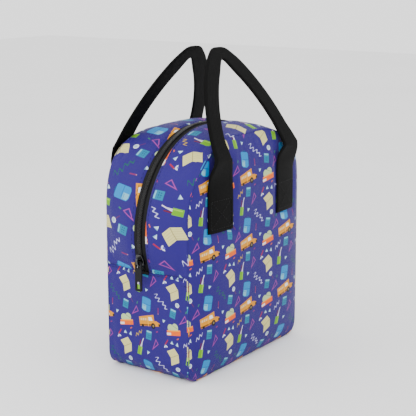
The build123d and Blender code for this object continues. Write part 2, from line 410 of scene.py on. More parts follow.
    def calculator(self, _: Sequence[float]) -> None:
        """A teal calculator with a pale display."""
        case = self.box(0, 0, 4.1, 5.0)
        self.paint(case, 10, 112, 146)
        self.paint(self.box(0, 3.9, 3.5, 0.9), 110, 174, 196)
        keys = (abs(self.x.wrapped(1.1)) - 0.6).most(abs(self.y.wrapped(1.1)) - 0.6)
        self.paint(keys.most(self.box(0.2, -1.2, 2.4, 2.6)), 6, 72, 108)

    def set_square(self, _: Sequence[float]) -> None:
        """A pink set square: a long right-angled triangle with a window."""
        shape = self.slope(-90, 2.0).most(self.slope(0, 4.4)).most(self.slope(120, 2.2))
        self.paint(shape.most(shape * -1.0 - 0.95), 138, 50, 136)

    def plane(self, _: Sequence[float]) -> None:
        """A folded paper plane."""
        dart = self.slope(-62, 1.1).most(self.slope(64, 0.8)).most(self.slope(180, 2.0))
        self.paint(dart, 116, 160, 196)
        self.paint(dart.most(self.slope(80, 0.1)), 186, 210, 224)

    def lens(self, _: Sequence[float]) -> None:
        """A magnifying glass."""
        self.paint(self.box(0, -5.2, 0.5, 3.0), 84, 34, 88)
        self.paint(self.disc(0, 0.4, 2.7), 196, 202, 220)
        self.paint(self.disc(0.3, 0.6, 1.6), 142, 178, 196)

    def protractor(self, _: Sequence[float]) -> None:
        """A white half round with a notch."""
        self.paint(self.disc(0, -1, 2.8).most(self.y * -1.0 - 0.6), 204, 208, 230)
        self.paint(self.disc(0, -0.4, 1.0), 86, 84, 160)

    def pencil(self, ink: Sequence[float]) -> None:
        """A short pencil with a pale point."""
        self.paint(self.box(0, 0, 0.7, 3.4), *ink)
        self.paint(self.box(0, -3.8, 0.4, 0.6), 170, 120, 120)

    def scribble(self, ink: Sequence[float]) -> None:
        """A cursive squiggle: a leaning wave of one pen width, taller at its start."""
        lean = self.x - self.y * 0.45
        wave = (lean * 1.1).sine() * (1.8 - self.x * 0.07) + (lean * 0.5).sine() * 0.9
        stroke = (abs(self.y - wave) * 0.42 - 0.3).most(abs(self.x) - 11.5)
        self.paint(stroke, *ink)

    def note(self, ink: Sequence[float]) -> None:
        """A shorter squiggle."""
        lean = self.x - self.y * 0.45
        wave = (lean * 1.25).sine() * 1.3
        self.paint((abs(self.y - wave) * 0.42 - 0.28).most(abs(self.x) - 6.2), *ink)

    def crumb(self, ink: Sequence[float]) -> None:
        """A small dash."""
        self.paint(self.box(0, 0, 1.5, 0.6), *ink)


# ------------------------------------------------------------------------------------------
# Finishes
# ------------------------------------------------------------------------------------------
@dataclass(frozen=True)
class PrintedFabric:
    """Woven polyester with the school print."""

    ground: tuple[float, float, float] = (37, 22, 106)
    thread_pitch: float = 0.7

    def material(self) -> bpy.types.Material:
        """Builds the material: print over ground, woven bump, painted weave shade, uneven gloss.
        """
        shader = Shader("printed_fabric")
        place = shader.uv("print")
        cloth = shader.uv("cloth")
        worn = shader.noise(shader.object_place(), 14.0, 3.0)
        shade = shader.mix(worn, linear(*[level * 0.93 for level in self.ground]),
                           linear(*[level * 1.05 for level in self.ground]))
        design = SchoolPrint(shader, shade, place)
        for motif in LAYOUT:
            design.add(motif)
        across, along, _ = shader.parts(cloth)
        rate = TURN / self.thread_pitch
        weave = (across * rate).sine() * (along * rate).sine()
        slub = shader.noise(cloth, 0.35, 2.0)
        # the weave term is painted shade, darker in the weave's hollows as in its bump; the slub
        # term is uneven yarn tone
        tone = (weave * 0.06 + slub * 0.16 + 0.88)
        colour = shader.node("ShaderNodeMix", {"data_type": "RGBA", "blend_type": "MULTIPLY"},
                             {0: 1.0, 6: design.colour, 7: tone}, 2)
        return shader.finish({
            "Base Color": colour,
            "Roughness": slub * 0.2 + 0.52,
            "Specular IOR Level": 0.18,
            "Sheen Weight": 0.03,
            "Sheen Roughness": 0.4,
            "Normal": shader.bump(weave * 0.5 + slub, 0.0002, 0.6),
        })


@dataclass(frozen=True)
class Webbing:
    """Black ribbed polypropylene webbing."""

    rib_pitch: float = 1.25
    ply_pitch: float = 2.4
    level: float = 5.0

    def material(self) -> bpy.types.Material:
        """Builds the material: ribs across, plies along, painted shade between them."""
        shader = Shader("webbing")
        across, along, _ = shader.parts(shader.uv("cloth"))
        ribs = (along * (TURN / self.rib_pitch) + (across * (TURN / self.ply_pitch)).sine())
        rib = ribs.sine() * 0.5 + 0.5
        ply = (across * (TURN / self.ply_pitch)).sine() * 0.5 + 0.5
        fuzz = shader.noise(shader.object_place(), 900.0, 2.0)
        height = rib * 0.6 + ply * 0.25 + fuzz * 0.3
        # painted shade and light: the colour follows the weave's height, dark in the grooves and
        # lighter on the rib tops
        dark = linear(*[self.level * 0.55] * 3)
        light = linear(*[self.level * 1.35] * 3)
        colour = shader.mix(height.math("MULTIPLY", 0.9, clamp=True), dark, light)
        return shader.finish({
            "Base Color": colour,
            "Roughness": fuzz * 0.25 + 0.55,
            "Specular IOR Level": 0.07,
            "Normal": shader.bump(height, 0.0003, 0.7),
        })


@dataclass(frozen=True)
class ZipTape:
    """Black woven zip tape with a twill rib."""

    def material(self) -> bpy.types.Material:
        """Builds the material: a fine herringbone of ribs, with painted shade in their troughs."""
        shader = Shader("zipper_tape")
        across, along, _ = shader.parts(shader.uv("cloth"))
        twill = (along * 5.2 + abs(across.wrapped(1.5)) * 3.0).sine() * 0.5 + 0.5
        fuzz = shader.noise(shader.object_place(), 700.0, 2.0)
        # painted shade and light: the colour follows the twill of the bump, dark in the troughs
        # and lighter on the crests
        colour = shader.mix(twill, linear(5, 5, 6), linear(17, 17, 19))
        return shader.finish({
            "Base Color": colour,
            "Roughness": fuzz * 0.2 + 0.6,
            "Specular IOR Level": 0.16,
            "Normal": shader.bump(twill + fuzz * 0.4, 0.00015, 0.6),
        })


@dataclass(frozen=True)
class Plain:
    """A one-colour finish with fine mottling: thread, coil, foam, binding and enamel."""

    name: str
    colour: tuple[float, float, float]
    mottle: float = 0.2
    grain: float = 900.0
    rough: float = 0.6
    relief: float = 0.0001
    metallic: float = 0.0
    coat: float = 0.0
    specular: float = 0.3

    def material(self) -> bpy.types.Material:
        """Builds the material: mottled colour, uneven gloss and a fine grain."""
        shader = Shader(self.name)
        place = shader.object_place()
        fine = shader.noise(place, self.grain, 3.0)
        broad = shader.noise(place, self.grain * 0.06, 2.0)
        mark = fine * 0.6 + broad * 0.4
        colour = shader.mix(mark, linear(*[c * (1 - self.mottle) for c in self.colour]),
                            linear(*[c * (1 + self.mottle) for c in self.colour]))
        return shader.finish({
            "Base Color": colour,
            "Roughness": mark * 0.3 + (self.rough - 0.15),
            "Metallic": self.metallic,
            "Coat Weight": self.coat,
            "Specular IOR Level": self.specular,
            "Coat Roughness": 0.08,
            "Normal": shader.bump(mark, self.relief, 0.5),
        })


@dataclass(frozen=True)
class Foil:
    """Heat-sealed foil lining with a crinkle."""

    def material(self) -> bpy.types.Material:
        """Builds the material: facets from a cell pattern bend a metallic sheet."""
        shader = Shader("foil_lining")
        place = shader.object_place()
        cells = shader.node("ShaderNodeTexVoronoi", {"feature": "F1"},
                            {"Vector": place, "Scale": 90.0})
        crease = shader.noise(place, 60.0, 4.0)
        colour = shader.mix(crease, linear(196, 200, 204), linear(230, 232, 236))
        return shader.finish({
            "Base Color": colour,
            "Metallic": 0.9,
            "Roughness": crease * 0.3 + 0.15,
            "Normal": shader.bump(cells + crease, 0.0008, 0.6),
        })


class Finishes:
    """Every material of the bag, built once."""

    def __init__(self) -> None:
        """Builds the materials."""
        self.fabric = PrintedFabric().material()
        self.webbing = Webbing().material()
        self.tape = ZipTape().material()
        self.foil = Foil().material()
        self.coil = Plain("zipper_coil", (12, 12, 13), rough=0.34, relief=0.00005).material()
        self.thread = Plain("seam_thread", (14, 10, 58), grain=2500.0, specular=0.2).material()
        self.black_thread = Plain("handle_thread", (9, 9, 10), grain=2500.0,
                                  specular=0.2).material()
        self.foam = Plain("foam", (222, 222, 214), grain=500.0, rough=0.8,
                          relief=0.0004).material()
        self.binding = Plain("binding", (8, 8, 20), grain=1500.0, rough=0.7,
                             specular=0.12).material()
        self.enamel = Plain("slider_enamel", (8, 8, 9), grain=300.0, rough=0.22,
                            metallic=0.6, coat=0.8).material()
        self.worn_enamel = Plain("pull_enamel", (22, 22, 24), mottle=0.5, grain=1100.0,
                                 rough=0.42, metallic=0.7, relief=0.0002).material()


# ------------------------------------------------------------------------------------------
# Meshes
# ------------------------------------------------------------------------------------------
def grid_faces(rows: int, columns: int, first: int = 0, loop: bool = False) -> np.ndarray:
    """Quads of a grid of points numbered row by row.

    Args:
        rows: number of rows.
        columns: number of columns.
        first: number of the first point.
        loop: whether the last column joins the first.

    Returns:
        One row of four point numbers for each quad.
    """
    step = columns if loop else columns - 1
    row, column = np.meshgrid(np.arange(rows - 1), np.arange(step), indexing="ij")
    here = row * columns + column
    right = row * columns + (column + 1) % columns
    quads = np.stack([here, right, right + columns, here + columns], axis=-1)
    return quads.reshape(-1, 4) + first


def grid_normals(points: np.ndarray, middle: Sequence[float]) -> np.ndarray:
    """Unit normals of a grid of points: the cross product of its two directions.

    Args:
        points: the grid, rows by columns by 3.
        middle: a point behind the surface, which the normals point away from.

    Returns:
        The normals, in the same shape.
    """
    cross = np.cross(np.gradient(points, axis=0), np.gradient(points, axis=1))
    unit = cross / np.maximum(np.linalg.norm(cross, axis=-1, keepdims=True), 1e-9)
    facing = np.sum(unit * (points - np.asarray(middle)), axis=-1)
    return unit * np.sign(np.median(facing))


def make_piece(name: str, points: np.ndarray, faces: Sequence[Sequence[int]],
               material: bpy.types.Material, maps: dict[str, np.ndarray] | None = None,
               smooth: bool = True) -> bpy.types.Object:
    """Writes a mesh object.

    Args:
        name: the piece's name.
        points: N by 3, in millimetres.
        faces: point numbers of each face.
        material: its finish.
        maps: UV maps by name, N by 2, one pair for each point.
        smooth: whether it is shaded smooth.

    Returns:
        The object, linked to the scene.
    """
    mesh = bpy.data.meshes.new(name)
    flat = np.asarray(points, float).reshape(-1, 3) * MM
    mesh.from_pydata(flat.tolist(), [], [list(map(int, face)) for face in faces])
    corners = np.zeros(len(mesh.loops), np.int32)
    mesh.loops.foreach_get("vertex_index", corners)
    for layer, values in (maps or {}).items():
        made = mesh.uv_layers.new(name=layer)
        made.data.foreach_set("uv", np.asarray(values, np.float32)[corners].ravel())
    mesh.polygons.foreach_set("use_smooth", np.full(len(mesh.polygons), smooth))
    mesh.materials.append(material)
    mesh.update()
    made_object = bpy.data.objects.new(name, mesh)
    bpy.context.scene.collection.objects.link(made_object)
    return made_object


def shell_mesh(outer: np.ndarray, inner: np.ndarray) -> tuple[np.ndarray, np.ndarray]:
    """Closes two matching grids into one solid.

    Args:
        outer: the face that is seen, rows by columns by 3.
        inner: the face behind it.

    Returns:
        Points and faces, with the faces pointing outwards.
    """
    rows, columns = outer.shape[:2]
    count = rows * columns
    front = grid_faces(rows, columns)
    number = np.arange(count).reshape(rows, columns)
    rim = np.concatenate([number[0, :], number[1:, -1], number[-1, -2::-1],
                          number[-2:0:-1, 0]])
    after = np.roll(rim, -1)
    wall = np.stack([rim, rim + count, after + count, after], axis=-1)
    faces = np.concatenate([front, front[:, ::-1] + count, wall])
    points = np.concatenate([outer.reshape(-1, 3), inner.reshape(-1, 3)])
    a, b, c = (outer.reshape(-1, 3)[front[:, k]] for k in (0, 1, 2))
    away = (outer - inner).reshape(-1, 3)[front[:, 0]]
    if np.sum(np.cross(b - a, c - a) * away) < 0:
        faces = faces[:, ::-1]
    return points, faces


def capsules(name: str, middles: np.ndarray, along: np.ndarray, up: np.ndarray,
             size: tuple[float, float, float], material: bpy.types.Material
             ) -> bpy.types.Object:
    """Many small stitches or coil turns as one piece.

    Each is a ring profile carried along its length: half widths shrink to the ends.

    Args:
        name: the piece's name.
        middles: N by 3 middles.
        along: N by 3 unit directions of their length.
        up: N by 3 unit directions away from the cloth.
        size: half length, half width and half height.
        material: their finish.

    Returns:
        The piece.
    """
    sides, ends = 6, np.array([-1.0, -0.72, 0.72, 1.0])
    girth = np.array([0.25, 1.0, 1.0, 0.25])
    turn = np.arange(sides) * TURN / sides
    across = np.cross(along, up)
    ring = (np.cos(turn)[None, :, None] * across[:, None, :] * size[1]
            + np.sin(turn)[None, :, None] * up[:, None, :] * size[2])
    points = (middles[:, None, None, :] + along[:, None, None, :] * (ends * size[0])
              [None, :, None, None] + ring[:, None] * girth[None, :, None, None])
    one = grid_faces(len(ends), sides, loop=True)
    count = len(ends) * sides
    start = (np.arange(len(middles)) * count)[:, None, None]
    quads = (one[None] + start).reshape(-1, 4).tolist()
    caps = np.stack([np.arange(sides)[::-1], np.arange(sides) + count - sides])
    ends_faces = (caps[None] + start).reshape(-1, sides).tolist()
    piece = make_piece(name, points, quads + ends_faces, material)
    recalculate(piece)
    return piece


def recalculate(piece: bpy.types.Object) -> None:
    """Turns a piece's faces outwards."""
    work = bmesh.new()
    work.from_mesh(piece.data)
    bmesh.ops.recalc_face_normals(work, faces=work.faces)
    work.to_mesh(piece.data)
    work.free()


def smoothstep(low: float, high: float, value: np.ndarray) -> np.ndarray:
    """0 below low, 1 above high, and an easy curve between."""
    share = np.clip((value - low) / (high - low), 0, 1)
    return share * share * (3 - 2 * share)


@dataclass(frozen=True)
class Settling:
    """How cloth is let go on its form."""

    frames: int = 16
    scale: float = 10.0
    pressure: float = 2.0
    slack: float = 0.012
    inward: float = 1.0
    outward: float = 2.6

    def run(self, points: np.ndarray, held: np.ndarray, normals: np.ndarray) -> np.ndarray:
        """Simulates a grid of cloth that is sewn along its held points.

        The cloth is cut a little large and is blown outwards by the foam behind it. Each
        point's move along its normal is then limited, which most of a wide panel reaches.

        Args:
            points: the grid on its form, rows by columns by 3, in millimetres.
            held: rows by columns, how firmly each point is held, from 0 to 1.
            normals: unit normals of the grid.

        Returns:
            How far each point moves along its normal, in millimetres.
        """
        rows, columns = points.shape[:2]
        faces = grid_faces(rows, columns)
        a, b, c = (points.reshape(-1, 3)[faces[:, k]] for k in (0, 1, 2))
        if np.sum(np.cross(b - a, c - a) * normals.reshape(-1, 3)[faces[:, 0]]) < 0:
            faces = faces[:, ::-1]
        piece = make_piece("settling", points * self.scale, faces, None)
        group = piece.vertex_groups.new(name="held")
        for number, weight in enumerate(held.ravel()):
            if weight > 0.01:
                group.add([number], float(weight), "REPLACE")
        cloth = piece.modifiers.new("cloth", "CLOTH")
        cloth.settings.vertex_group_mass = "held"
        cloth.settings.quality = 5
        cloth.settings.mass = 0.4
        cloth.settings.tension_stiffness = 25
        cloth.settings.compression_stiffness = 25
        cloth.settings.shear_stiffness = 12
        cloth.settings.bending_stiffness = 0.8
        cloth.settings.shrink_min = -self.slack
        cloth.settings.use_pressure = True
        cloth.settings.uniform_pressure_force = self.pressure
        cloth.settings.effector_weights.gravity = 0.15
        cloth.collision_settings.use_collision = False
        scene = bpy.context.scene
        for step in range(1, self.frames + 1):
            scene.frame_set(step)
        settled = piece.evaluated_get(bpy.context.evaluated_depsgraph_get()).to_mesh()
        flat = np.zeros(rows * columns * 3)
        settled.vertices.foreach_get("co", flat)
        moved = flat.reshape(rows, columns, 3) / (MM * self.scale) - points
        scene.frame_set(1)
        bpy.data.objects.remove(piece)
        along = np.sum(moved * normals, axis=-1)
        limit = np.where(along > 0, self.outward, self.inward)
        return limit * np.tanh(along / limit)


# ------------------------------------------------------------------------------------------
# The bag's form
# ------------------------------------------------------------------------------------------
@dataclass(frozen=True)
class BagForm:
    """The outer face of the sewn bag as formulas, with the same driving sizes as the frame."""

    width: float = 220.0
    depth: float = 110.0
    height: float = 258.0
    seam_z: float = 117.5
    shoulder_radius: float = 78.0
    mid_shoulder_radius: float = 110.0
    base_radius: float = 18.0
    side_bulge: float = 11.5
    top_bulge: float = 7.0
    shoulder_start: float = -16.0
    panel_bulge: float = 11.0
    panel_flatness: float = 6.0
    panel_squareness: float = 4.0

    @property
    def middle(self) -> tuple[float, float, float]:
        """A point well inside the bag."""
        return 0.0, 0.0, self.height / 2

    def outline(self, y: np.ndarray, length: np.ndarray) -> tuple[np.ndarray, np.ndarray]:
        """Point of the right half outline at a length from the middle of the base.

        The half outline is a base line, a corner arc, a leaning side arc, a shoulder arc
        and a top line, which all change with the gusset's bulge at depth y.

        Args:
            y: depth of each point.
            length: length along the outline, in the same shape.

        Returns:
            x and z of each point.
        """
        base, corner, side, shoulder, _ = self.lengths(y)
        centre_x, centre_z, radius = self.shoulder(y)
        start, chord, half_turn, reach = self.side(y)
        in_corner = np.clip((length - base) / self.base_radius, 0, math.pi / 2)
        share = np.clip((length - base - corner) / side, 0, 1)
        out = start + half_turn * share
        far = reach * self.sine_ratio(half_turn, share)
        angle = self.lean(y) + np.clip(length - base - corner - side, 0, shoulder) / radius
        past = np.maximum(length - base - corner - side - shoulder, 0)
        pieces = [length < base, length < base + corner, length < base + corner + side]
        corner_x = self.width / 2 - self.base_radius
        x = np.select(pieces, [length, corner_x + self.base_radius * np.sin(in_corner),
                               self.width / 2 + far * np.cos(out)],
                      centre_x + radius * np.cos(angle) - past)
        z = np.select(pieces, [0 * length, self.base_radius * (1 - np.cos(in_corner)),
                               self.base_radius + far * np.sin(out)],
                      centre_z + radius * np.sin(angle))
        return x, z

    @staticmethod
    def sine_ratio(half_turn: np.ndarray, share: np.ndarray) -> np.ndarray:
        """Chord to a share of an arc over its whole chord: sin(t s) / sin(t), or s if straight."""
        safe = np.where(np.abs(half_turn) < 1e-6, 1e-6, half_turn)
        return np.sin(safe * share) / np.sin(safe)

    def crown(self, y: np.ndarray) -> np.ndarray:
        """Share of the gusset's bulge at depth y: 1 on the zip line and 0 at the seams."""
        return 1 - (2 * y / self.depth) ** 2

    def lean(self, y: np.ndarray) -> np.ndarray:
        """Angle at which the shoulder arc starts, in radians."""
        return math.radians(self.shoulder_start) * self.crown(y)

    def shoulder(self, y: np.ndarray) -> tuple[np.ndarray, np.ndarray, np.ndarray]:
        """Centre and radius of the shoulder arc at depth y."""
        share = self.crown(y)
        radius = (self.shoulder_radius
                  + (self.mid_shoulder_radius - self.shoulder_radius) * share)
        centre_x = self.width / 2 + self.side_bulge * share - radius
        return centre_x, self.height + self.top_bulge * share - radius, radius

    def side(self, y: np.ndarray) -> tuple[np.ndarray, ...]:
        """Start heading, chord heading, half turn and chord length of the side's arc."""
        centre_x, centre_z, radius = self.shoulder(y)
        lean = self.lean(y)
        across = centre_x + radius * np.cos(lean) - self.width / 2
        up = centre_z + radius * np.sin(lean) - self.base_radius
        chord = np.arctan2(up, across)
        half_turn = math.pi / 2 + lean - chord
        return chord - half_turn, chord, half_turn, np.hypot(across, up)

    def lengths(self, y: np.ndarray) -> tuple[np.ndarray, ...]:
        """Lengths of the base line, corner, side, shoulder and top line."""
        centre_x, _, radius = self.shoulder(y)
        _, _, half_turn, reach = self.side(y)
        safe = np.where(np.abs(half_turn) < 1e-6, 1e-6, half_turn)
        flat = np.ones_like(radius)
        return (flat * (self.width / 2 - self.base_radius),
                flat * (self.base_radius * math.pi / 2), reach * safe / np.sin(safe),
                radius * (math.pi / 2 - self.lean(y)), centre_x)

    def seam_length(self, y: np.ndarray) -> np.ndarray:
        """Length from the middle of the base to the side seam, by repeated proportion."""
        base, corner, side, _, _ = self.lengths(y)
        start, _, half_turn, reach = self.side(y)
        share = (self.seam_z - self.base_radius) / (reach + 1e-9)
        for _ in range(6):
            rise = reach * self.sine_ratio(half_turn, share) * np.sin(start + half_turn * share)
            share = share * (self.seam_z - self.base_radius) / rise
        return base + corner + side * share

    def panel_crown(self, x: np.ndarray, z: np.ndarray) -> np.ndarray:
        """How far the front panel stands out: flat at the base, the top and the sides."""
        along = 1 - np.abs(2 * z / self.height - 1) ** self.panel_flatness
        beside = 1 - np.abs(2 * x / self.width) ** self.panel_squareness
        return self.panel_bulge * along * beside

    def gusset(self, y: np.ndarray, share: np.ndarray, upper: bool) -> np.ndarray:
        """Points of a gusset.

        Args:
            y: depth of each point.
            share: signed share of the way, -1 at the left side seam and 1 at the right one,
                with 0 in the middle of the base or of the top.
            upper: whether it is the upper gusset.

        Returns:
            The points, with a last axis of 3.
        """
        seam = self.seam_length(y)
        if upper:
            top = sum(self.lengths(y))
            length = top - np.abs(share) * (top - seam)
        else:
            length = np.abs(share) * seam
        x, z = self.outline(y, length)
        return np.stack([np.sign(share) * x, y, z], axis=-1)

    def seam_depth(self, share: np.ndarray, upper: bool) -> np.ndarray:
        """Depth of the front and back seams along a gusset, where it meets the panel."""
        depth = np.full_like(share, self.depth / 2)
        for _ in range(5):
            point = self.gusset(depth, share, upper)
            depth = self.depth / 2 + self.panel_crown(point[..., 0], point[..., 2])
        return depth

    def panel_edge(self, share: np.ndarray) -> np.ndarray:
        """Right edge of a panel, from the base's end (0) to the top's end (1)."""
        depth = np.full_like(share, self.depth / 2)
        for _ in range(5):
            base, corner, side, shoulder, _ = self.lengths(depth)
            x, z = self.outline(depth, base + share * (corner + side + shoulder))
            depth = self.depth / 2 + self.panel_crown(x, z)
        return np.stack([x, depth, z], axis=-1)


FORM = BagForm()


class Side(Enum):
    """Front or back, as the sign of y."""

    FRONT = -1
    BACK = 1

    @property
    def word(self) -> str:
        """The side's name in node names."""
        return self.name.lower()


@dataclass(frozen=True)
class Plies:
    """The depths of the bag's three plies below the outer face."""

    fabric: tuple[float, float] = (0.0, 0.8)
    foam: tuple[float, float] = (1.0, 5.0)
    lining: tuple[float, float] = (5.2, 5.8)


@dataclass
class ClothPanel:
    """One sewn panel: its grid of points and the maps of its print and weave."""

    name: str
    points: np.ndarray
    edge_reach: np.ndarray
    cloth_map: np.ndarray
    print_map: np.ndarray
    sewn: np.ndarray | float = 0.0
    fill: float = 0.35
    pinch: float = 1.3
    pinch_width: float = 2.2
    hold_width: float = 6.0
    free_reach: float = 14.0
    plies: Plies = Plies()

    def settled(self) -> tuple[np.ndarray, np.ndarray]:
        """The outer face after the cloth has settled, pinched in along its seams.

        Depth of the pinch is a bell of the distance to the nearest seam, which swells and
        shrinks along the seam as gathered cloth does.

        Returns:
            The face and its normals.
        """
        normals = grid_normals(self.points, FORM.middle)
        held = np.exp(-(self.edge_reach / self.hold_width) ** 2)
        rise = Settling().run(self.points, held, normals)
        free = smoothstep(0.0, self.free_reach, self.edge_reach)
        rise = rise * free * (1 - self.sewn)
        x, y, z = np.moveaxis(self.points, -1, 0)
        gather = 1 + 0.35 * np.sin(0.55 * (x + z) + 1.3 * np.sin(0.11 * (y + z)))
        bell = np.exp(-(self.edge_reach / self.pinch_width) ** 2)
        ripple = 0.22 * gather * np.exp(-self.edge_reach / 9.0)
        face = self.points + normals * (rise - self.pinch * bell + ripple - 0.2)[..., None]
        return face, normals

    def build(self, finishes: Finishes) -> None:
        """Makes the fabric, foam and lining pieces of the panel."""
        face, normals = self.settled()
        near, far = (face - normals * depth for depth in self.plies.fabric)
        maps = {"cloth": np.tile(self.cloth_map.reshape(-1, 2), (2, 1)),
                "print": np.tile(self.print_map.reshape(-1, 2), (2, 1))}
        points, faces = shell_mesh(near, far)
        piece = make_piece(self.name + "_fabric", points, faces, finishes.fabric, maps)
        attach(piece, "bag")
        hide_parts(self.name)
        for ply, material, slot, depths in (
            ("foam", finishes.foam, "foam", self.plies.foam),
            ("lining", finishes.foil, "foil_lining", self.plies.lining),
        ):
            margin = 3
            inner = face[margin:-margin:2, margin:-margin:2]
            inward = normals[margin:-margin:2, margin:-margin:2]
            points, faces = shell_mesh(inner - inward * depths[0], inner - inward * depths[1])
            piece = make_piece(f"{self.name}_{ply}_ply", points, faces, material)
            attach(piece, "bag")
            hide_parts(f"{self.name}_{ply}")
            ply == "foam"
        LOG.info("%s: %d faces", self.name, len(faces))


@dataclass
class Body:
    """The five sewn panels of the bag."""

    step: float = 2.6
    zip_half: float = 7.6
    print_start: float = 16.1
    print_width: float = 73.0
    print_bend: float = 0.096
    print_level: float = 140.0
    print_stretch: tuple[float, float] = (1.125, 1.0)
    upper_print_scale: float = 1.36

    def panel(self, side: Side) -> ClothPanel:
        """Front or back panel.

        Each row joins the two edge points at one share of the edge's length, and the panel
        crowns out between them. The print is a little closer at the left than at the right,
        as a square of the distance.
        """
        rows = int(FORM.height / self.step)
        columns = int(FORM.width / self.step)
        edge = FORM.panel_edge(np.linspace(0, 1, rows))
        across = np.linspace(-1, 1, columns)
        x = edge[:, None, 0] * across
        z = np.broadcast_to(edge[:, None, 2], x.shape)
        y = side.value * (FORM.depth / 2 + FORM.panel_crown(x, z))
        points = np.stack([x, y, z], axis=-1)
        rim = np.concatenate([points[0], points[1:, -1], points[-1], points[:, 0]])
        reach = np.array([np.sqrt(((row[:, None, :] - rim[None]) ** 2).sum(-1)).min(-1)
                          for row in points])
        across = -side.value * x
        cloth = np.stack([across, z], axis=-1)
        tile = (across + self.print_start) / self.print_width
        drawn = np.stack([TILE * (tile - self.print_bend * tile ** 2), z - self.print_level],
                         axis=-1)
        beside = np.abs(np.abs(x) - Handle.end_x) - Handle.webbing / 2
        sewn = smoothstep(9.0, 1.0, beside) * smoothstep(Handle.end_z - 9, Handle.end_z, z)
        return ClothPanel(f"{side.word}_panel", points, reach, cloth, drawn, sewn)

    def gusset_grid(self, low: float, high: float, upper: bool) -> tuple[np.ndarray, ...]:
        """Grid of a gusset strip.

        Args:
            low: depth share of its first edge, -1 at the front seam.
            high: depth share of its last edge.
            upper: whether it is the upper gusset.

        Returns:
            Points, length along the strip and signed depth.
        """
        length = 2 * (FORM.seam_length(np.zeros(1))[0])
        if upper:
            length = 2 * sum(FORM.lengths(np.zeros(1)))[0] - length
        share = np.linspace(-1, 1, 2 * int(length / self.step / 2) + 1)
        seam = FORM.seam_depth(share, upper)
        rows = max(int((high - low) * FORM.depth / 2 / self.step), 6)
        blend = np.linspace(0, 1, rows)[:, None]
        first = np.where(abs(low) == 1, seam * low, low * FORM.depth / 2)
        last = np.where(abs(high) == 1, seam * high, high * FORM.depth / 2)
        y = first[None] * (1 - blend) + last[None] * blend
        shares = np.broadcast_to(share, y.shape)
        points = FORM.gusset(y, shares, upper)
        return points, shares * length / 2, y

    def lower_gusset(self) -> ClothPanel:
        """Both sides below the seam and the base, in one strip."""
        points, length, y = self.gusset_grid(-1, 1, False)
        seam = np.abs(y[0])
        reach = np.minimum(seam - np.abs(y), np.abs(np.abs(length) - np.abs(length).max()))
        cloth = np.stack([y * np.where(length > 0, 1, -1), np.abs(length)], axis=-1)
        level = np.abs(length).max() - 56.0
        drawn = (cloth - [3.0, level]) * self.print_stretch
        return ClothPanel("lower_gusset", points, reach, cloth, drawn)

    def upper_gusset(self, side: Side) -> ClothPanel:
        """The strip beside the zip, from one side seam over the top to the other."""
        zip_share = self.zip_half / (FORM.depth / 2)
        low, high = sorted((side.value * 1.0, side.value * zip_share))
        points, length, y = self.gusset_grid(low, high, True)
        seam = np.abs(y).max(axis=0)
        end = np.abs(length).max() - np.abs(length)
        reach = np.minimum(np.minimum(seam - np.abs(y), end),
                           (np.abs(y) - self.zip_half) * 1.6)
        cloth = np.stack([-y, length + np.abs(length).max()], axis=-1)
        drawn = np.stack([(cloth[..., 1] - 88.0) * self.print_stretch[0], y - 3.0],
                         axis=-1) / self.upper_print_scale + [TILE, 0.0]
        return ClothPanel(f"upper_gusset_{side.word}", points, np.maximum(reach, 0), cloth,
                          drawn, pinch=0.9)

    def build(self, finishes: Finishes) -> None:
        """Makes every panel."""
        for panel in (self.panel(Side.FRONT), self.panel(Side.BACK), self.lower_gusset(),
                      self.upper_gusset(Side.FRONT), self.upper_gusset(Side.BACK)):
            panel.build(finishes)
        for side in Side:
            node = f"{side.word}_seam_binding"
            frame["nodes"][node].data.materials.clear()
            frame["nodes"][node].data.materials.append(finishes.binding)


